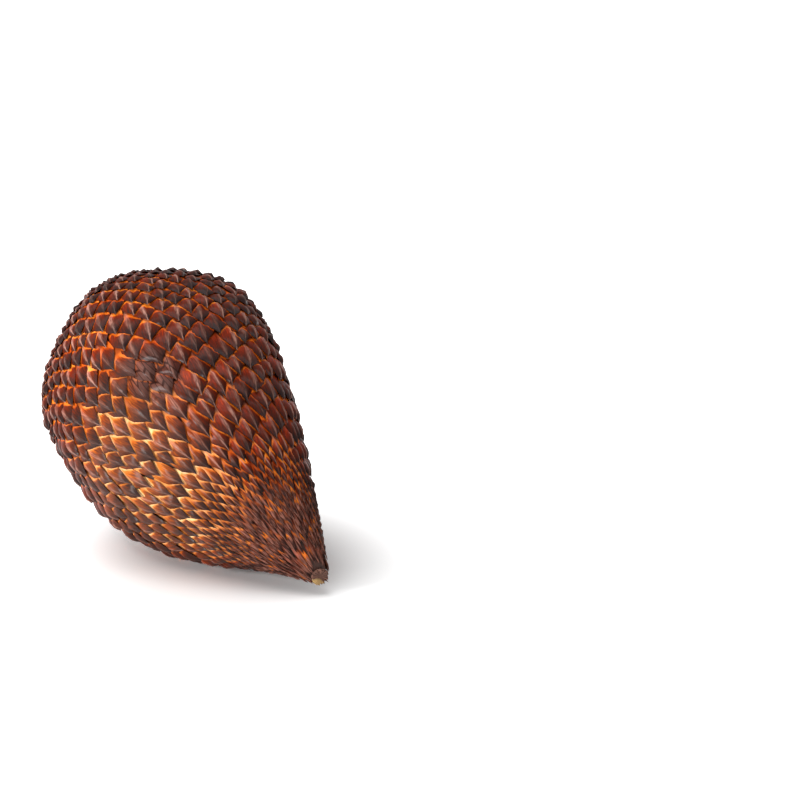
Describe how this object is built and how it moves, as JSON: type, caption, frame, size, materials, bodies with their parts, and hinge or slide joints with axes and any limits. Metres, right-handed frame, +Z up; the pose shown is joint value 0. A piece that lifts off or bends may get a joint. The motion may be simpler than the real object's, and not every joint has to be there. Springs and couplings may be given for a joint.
{
  "type": "snake fruit",
  "caption": "Whole snake fruit, a teardrop of overlapping pointed scales with a hooked stalk end, lying on its belly.",
  "frame": {"origin": "on the ground, under the middle of the fruit's bounding box", "axes": "+Z up, +X from the round end towards the pointed stalk end, +Y towards the side that the stalk end hooks to"},
  "size_m": [0.07, 0.0478, 0.0539],
  "materials": {
    "scaly_skin": "semi-gloss dry scales"
  },
  "bodies": {
    "root": {"snake_fruit": "scaly_skin"}
  },
  "joints": []
}
